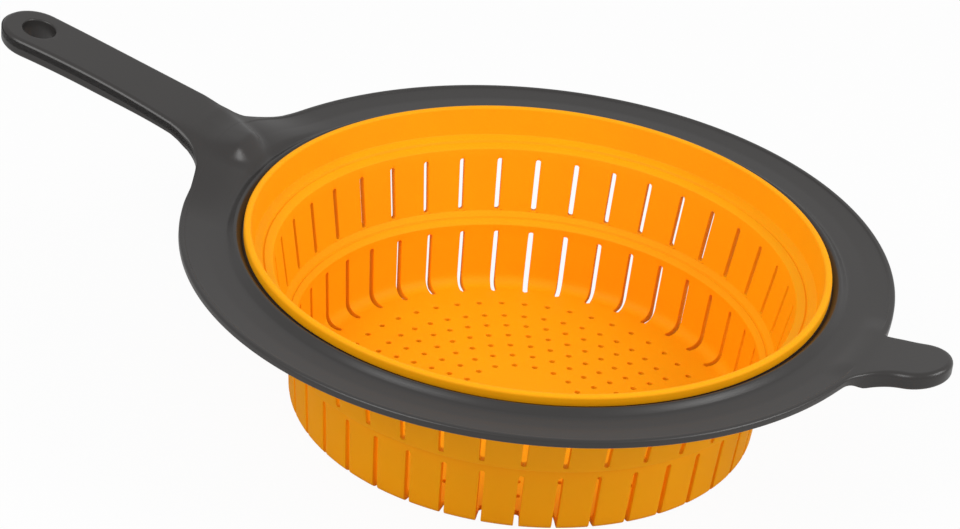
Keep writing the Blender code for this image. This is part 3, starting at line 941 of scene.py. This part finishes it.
def arm_side(sizes, arm, angle, inset, flared=True):
    """An arm's outline on one side, from the ring at an angle to the middle of its tip.

    Points are (along, across), drawn in by the inset.
    """
    end = flange_radius + arm.flare_end
    if flared:
        points = flare_side(sizes, arm, angle, end, inset)
    else:
        start = flange_radius * math.cos(angle)
        points = straight_side(sizes, arm, start, end, flare_rows, inset)
    centre = arm.tip - arm.tip_half
    points += straight_side(sizes, arm, end, centre, arm.side_rows, inset)
    reach = arm.tip_half - inset
    for step in range(1, tip_rows + 1):
        angle = math.pi / 2 * (1 - step / tip_rows)
        points.append((centre + reach * math.cos(angle), reach * math.sin(angle)))
    return points


def outer_faces(bm, direction, low, high, sizes):
    """The faces of the ring's outer wall and its roundings between two angles from an arm."""
    found = []
    inner = flange_radius - sizes.edge_round - merge_distance
    middle = math.pi if direction < 0 else 0
    for face in bm.faces:
        centre = face.calc_center_median()
        angle = (math.atan2(centre.y, centre.x) - middle + math.pi) % (2 * math.pi) - math.pi
        if low < angle < high and min(vert.co.xy.length for vert in face.verts) > inner:
            found.append(face)
    return found


def open_wall(bm, layer, faces):
    """Takes the faces out. Returns a bmesh with only the opening's edge loop, and its drops."""
    arm = bmesh.new()
    drops = arm.verts.layers.float.new("drop")
    twins = {}
    corners = {vert for face in faces for vert in face.verts}
    bmesh.ops.delete(bm, geom=faces, context="FACES")
    for edge in bm.edges:
        if edge.is_boundary and corners.issuperset(edge.verts):
            for vert in edge.verts:
                if vert not in twins:
                    twins[vert] = arm.verts.new(vert.co)
                    twins[vert][drops] = vert[layer]
            arm.edges.new([twins[vert] for vert in edge.verts])
    return arm, drops


def grow_arm(bm, layer, sizes, arm, low, high, high_flared):
    """Opens the ring's outer wall between two angles and extrudes it row by row into an arm."""
    made, drops = open_wall(bm, layer, outer_faces(bm, arm.direction, low, high, sizes))
    loop = list(made.edges)
    places = {}
    for vert in made.verts:
        radius = vert.co.xy.length
        share = (math.asin(vert.co.y / radius) - low) / (high - low)
        places[vert] = (share, flange_radius - radius, vert.co.z)
    plain = arm_side(sizes, arm, -low, 0)
    flare_end = plain[flare_rows - 1][0]
    outlines = {}
    for row, (along, _) in enumerate(plain):
        verts, loop = extruded(made, loop)
        next_places = {}
        for vert in verts:
            others = (edge.other_vert(vert) for edge in vert.link_edges)
            share, inset, level = places[next(other for other in others if other in places)]
            scaled = inset * grown_round(sizes, along - flange_radius)
            if scaled not in outlines:
                near_side = arm_side(sizes, arm, -low, scaled)
                far_side = arm_side(sizes, arm, high, scaled, high_flared)
                outlines[scaled] = list(zip(near_side, far_side))
            near, far = outlines[scaled][row]
            bulge = 0
            if row < flare_rows:
                progress = ((row + 1) / flare_rows) ** flare_bulge
                bulge = between(flange_radius - inset, flare_end, progress) - (near[0] + far[0]) / 2
            reach = between(near[0], far[0], share) + 4 * bulge * share * (1 - share)
            vert.co = (arm.direction * reach, between(-near[1], far[1], share), level)
            next_places[vert] = (share, inset, level)
        places = next_places
    bmesh.ops.remove_doubles(made, verts=list(places), dist=merge_distance)
    lift_arms(made, drops, sizes)
    return made


def refine_root(bm, sizes):
    """Divides the flange's faces round the tongue once more, for its steep sides."""
    inner = sizes.opening + sizes.seat + merge_distance

    def near_tongue(place):
        return place.x < 0 and abs(place.y) < sizes.swell and place.xy.length > inner

    edges = [edge for edge in bm.edges if all(near_tongue(vert.co) for vert in edge.verts)]
    bmesh.ops.subdivide_edges(bm, edges=edges, cuts=1, use_grid_fill=True)
    many_sided = [face for face in bm.faces if len(face.verts) > 4]
    bmesh.ops.triangulate(bm, faces=many_sided)


def shape_with(piece, added, cutters):
    """Joins the added shapes to the piece and takes the cutters out of it, for good."""
    for cutter in [*added, *cutters]:
        modifier = piece.modifiers.new(cutter.name, "BOOLEAN")
        modifier.object = cutter
        modifier.operation = "UNION" if cutter in added else "DIFFERENCE"
        modifier.solver = "EXACT"
    graph = bpy.context.evaluated_depsgraph_get()
    shaped = bpy.data.meshes.new_from_object(piece.evaluated_get(graph))
    piece.modifiers.clear()
    piece.data = shaped
    for cutter in [*added, *cutters]:
        bpy.data.objects.remove(cutter)


def turned_cutter(name, outline, sizes):
    """A round cutter of (radius, height) points, square to the handle's sloping top at the hole."""
    bm = bmesh.new()
    turn_outline(bm, outline, cutter_steps)
    along = handle_tip - sizes.hole_margin
    top = handle_top(sizes, along)
    slope = math.atan2(top - handle_top(sizes, along - sizes.hole_radius), sizes.hole_radius)
    placed = Matrix.Translation((-along, 0, top)) @ Matrix.Rotation(slope, 4, "Y")
    bmesh.ops.transform(bm, matrix=placed @ Matrix.Translation((0, 0, -top)), verts=bm.verts)
    return closed_object(name, bm)


def hanging_hole(sizes):
    """The hole's cutter, flared at both ends so that it leaves rounded rims.

    Its rings lie a little outside the faces that it cuts, because a ring on a face spoils the cut.
    """
    top = handle_top(sizes, handle_tip - sizes.hole_margin)
    low = top - sizes.handle_depth - sizes.hole_collar
    soft = sizes.edge_round * 0.7
    wide = sizes.hole_radius + 2 * soft
    rims = []
    outside = soft - merge_distance
    for level, sign in ((top - outside, 1), (low + outside, -1)):
        rims.append([])
        for step in range(hole_rim_steps + 1):
            angle = math.pi / 2 * step / hole_rim_steps
            reach = sizes.hole_radius + soft * (1 - math.sin(angle))
            rims[-1].append(Vector((reach, level + sign * soft * math.cos(angle))))
    upper = [Vector((0, top + soft)), Vector((wide, top + soft)), *rims[0]]
    lower = [*rims[1][::-1], Vector((wide, low - soft)), Vector((0, low - soft))]
    return turned_cutter("hanging_hole", upper + lower, sizes)


def hole_collar(sizes):
    """The collar that makes the hanging hole deeper than the handle's end, to join to it."""
    top = handle_top(sizes, handle_tip - sizes.hole_margin)
    low = top - sizes.handle_depth - sizes.hole_collar
    wide = sizes.hole_radius + sizes.hole_collar
    high = low + 2 * sizes.hole_collar
    outline = rounded((0, high, 0), (wide, high, 0), (wide, low, sizes.under_round), (0, low, 0))
    return turned_cutter("hole_collar", outline, sizes)


def pocket(name, sizes, arm, start, end):
    """The cutter of one pocket under an arm, opening downwards."""
    bm = bmesh.new()
    corners = []
    for along in (start, end):
        half = arm.width(sizes, along - flange_radius) - sizes.core_wall
        high = arm.top(sizes, along) - sizes.core_wall
        low = high - arm.thickness(sizes, along)
        for across in (-half, half):
            for level in (low, high):
                corners.append(bm.verts.new((arm.direction * along, across, level)))
    bmesh.ops.convex_hull(bm, input=corners)
    upright = []
    for edge in bm.edges:
        if abs((edge.verts[0].co - edge.verts[1].co).normalized().z) > 0.8:
            upright.append(edge)
    soften(bm, upright, sizes.core_rib, 4)
    return closed_object(name, bm)


def pockets(sizes):
    """The pockets under the handle, with ribs between them, and the one under the tab."""
    handle, tab = handle_and_tab(sizes)
    first = flange_radius + sizes.handle_root * 1.45
    last = handle_tip - sizes.hole_margin - sizes.hole_radius - 2.6 * sizes.core_wall
    pitch = (last - first + sizes.core_rib) / pocket_count
    cutters = []
    for number in range(pocket_count):
        start = first + number * pitch
        end = start + pitch - sizes.core_rib
        cutters.append(pocket(f"handle_core_{number}", sizes, handle, start, end))
    start = flange_radius + sizes.tab_root * 0.75
    end = tab_tip - sizes.tab_half_width * 0.75
    return cutters + [pocket("tab_core", sizes, tab, start, end)]


class OBJECT_OT_insert_frame(bpy.types.Operator):
    """Models the ring frame with its handle and helper tab as one nylon moulding"""

    bl_idname = "object.insert_frame"
    bl_label = "Frame"

    def execute(self, context):
        sizes = context.scene.insert_frame
        bm = bmesh.new()
        layer = bm.verts.layers.float.new("drop")
        section = frame_outline(sizes)
        section.append(section[0])
        drops = [drop_of(point, sizes) for point in section]
        turn_outline(bm, section, frame_steps, marks=drops, layer=layer)
        refine_root(bm, sizes)
        handle, tab = handle_and_tab(sizes)
        wide = sizes.handle_flare
        arms = [
            grow_arm(bm, layer, sizes, handle, -wide, wide, True),
            grow_arm(bm, layer, sizes, tab, -sizes.tab_flare, sizes.tab_corner, False),
        ]
        lift_arms(bm, layer, sizes)
        for arm in arms:
            join(bm, arm)
        look = moulded_nylon(context.scene.insert_nylon)
        piece = closed_object("nylon_frame", bm, look)
        shape_with(piece, [hole_collar(sizes)], [hanging_hole(sizes), *pockets(sizes)])
        smooth(piece)
        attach(piece, "frame")
        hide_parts("frame")
        return {"FINISHED"}


# The stage

white = (1.0, 1.0, 1.0, 1.0)
card_grey = (0.7, 0.7, 0.7, 1.0)
card_glow = 0.95
card_size = 60 * flange_radius
softbox_distance = 9 * flange_radius
softbox_size = softbox_distance / 2

# Azimuth and elevation of the softboxes in degrees
front_left = (-117, 43)
right = (4, 36)


def add_camera(view):
    """Places the camera round the lip's middle and slides it aside, as the photo is framed."""
    data = bpy.data.cameras.new("camera")
    data.lens = view.lens
    data.sensor_width = 36
    data.clip_start = 0.01
    made = linked("camera", data)
    turned = Matrix.Rotation(view.azimuth + math.pi / 2, 4, "Z")
    tilted = Matrix.Rotation(math.pi / 2 - view.elevation, 4, "X")
    rolled = Matrix.Rotation(view.roll, 4, "Z")
    aim = Matrix.Translation((0, 0, rim_top))
    slide = Matrix.Translation((-view.aside, -view.above, view.distance))
    made.matrix_world = aim @ turned @ tilted @ rolled @ slide
    bpy.context.scene.camera = made


def pale_floor():
    """White card. The camera sees it lit from within: it stays white and keeps a soft shadow."""
    made = new_material("white card")
    tree = made.node_tree
    card = add_node(tree, "ShaderNodeBsdfDiffuse", Color=card_grey)
    glow = add_node(tree, "ShaderNodeEmission", Color=white, Strength=1.0)
    rays = add_node(tree, "ShaderNodeLightPath")
    camera_ray = rays.outputs["Is Camera Ray"]
    seen = add_node(tree, "ShaderNodeMath", {"operation": "MULTIPLY"}, Value=camera_ray)
    seen.inputs[1].default_value = card_glow
    mixed = add_node(
        tree, "ShaderNodeMixShader", Fac=seen.outputs["Value"], Shader=card.outputs["BSDF"]
    )
    tree.links.new(glow.outputs["Emission"], mixed.inputs[2])
    add_node(tree, "ShaderNodeOutputMaterial", Surface=mixed.outputs["Shader"])
    return made


def add_softbox(name, power, azimuth, elevation):
    """A square softbox that faces the middle of the lip."""
    data = bpy.data.lights.new(name, "AREA")
    data.energy = power
    data.shape = "SQUARE"
    data.size = softbox_size
    away = Vector((softbox_distance, 0, 0))
    away.rotate(Euler((0, -math.radians(elevation), math.radians(azimuth))))
    facing = (-away).to_track_quat("-Z", "Y").to_matrix().to_4x4()
    linked(name, data).matrix_world = Matrix.Translation(away + Vector((0, 0, rim_top))) @ facing


class SCENE_OT_insert_stage(bpy.types.Operator):
    """Sets up the camera, the pale floor and the soft studio light"""

    bl_idname = "scene.insert_stage"
    bl_label = "Stage"

    def execute(self, context):
        scene = context.scene
        add_camera(scene.insert_camera)
        bm = bmesh.new()
        bmesh.ops.create_grid(bm, x_segments=1, y_segments=1, size=card_size)
        object_of("floor", bm, pale_floor())
        world = bpy.data.worlds.new("white room")
        world.use_nodes = True
        scene.world = world
        background = world.node_tree.nodes["Background"]
        background.inputs["Color"].default_value = white
        background.inputs["Strength"].default_value = scene.insert_light.sky
        add_softbox("front softbox", scene.insert_light.key, *front_left)
        add_softbox("side softbox", scene.insert_light.side, *right)
        scene.view_settings.view_transform = "Standard"
        return {"FINISHED"}


class VIEW3D_PT_insert(bpy.types.Panel):
    """Lists the insert's pieces and sizes"""

    bl_label = "Steamer insert"
    bl_space_type = "VIEW_3D"
    bl_region_type = "UI"
    bl_category = "Insert"

    def draw(self, context):
        for operator, names in (
            ("scene.insert_stage", ("insert_camera", "insert_light")),
            ("object.insert_frame", ("insert_frame", "insert_nylon")),
            ("object.insert_basket", ("insert_basket", "insert_silicone")),
        ):
            self.layout.operator(operator)
            for name in names:
                settings = getattr(context.scene, name)
                for value in settings.bl_rna.properties:
                    if not value.is_readonly and value.identifier != "name":
                        self.layout.prop(settings, value.identifier)


settings_groups = {
    "insert_basket": BasketSizes,
    "insert_frame": FrameSizes,
    "insert_silicone": SiliconeLook,
    "insert_nylon": NylonLook,
    "insert_camera": CameraView,
    "insert_light": StudioLight,
}
operators = (SCENE_OT_insert_stage, OBJECT_OT_insert_frame, OBJECT_OT_insert_basket)


def register():
    for name, group in settings_groups.items():
        bpy.utils.register_class(group)
        setattr(bpy.types.Scene, name, PointerProperty(type=group))
    for made in (*operators, VIEW3D_PT_insert):
        bpy.utils.register_class(made)


def unregister():
    for made in (VIEW3D_PT_insert, *operators):
        bpy.utils.unregister_class(made)
    for name, group in settings_groups.items():
        delattr(bpy.types.Scene, name)
        bpy.utils.unregister_class(group)


def main():
    register()
    bpy.ops.scene.insert_stage()
    bpy.ops.object.insert_frame()
    bpy.ops.object.insert_basket()


if __name__ == "__main__":
    main()
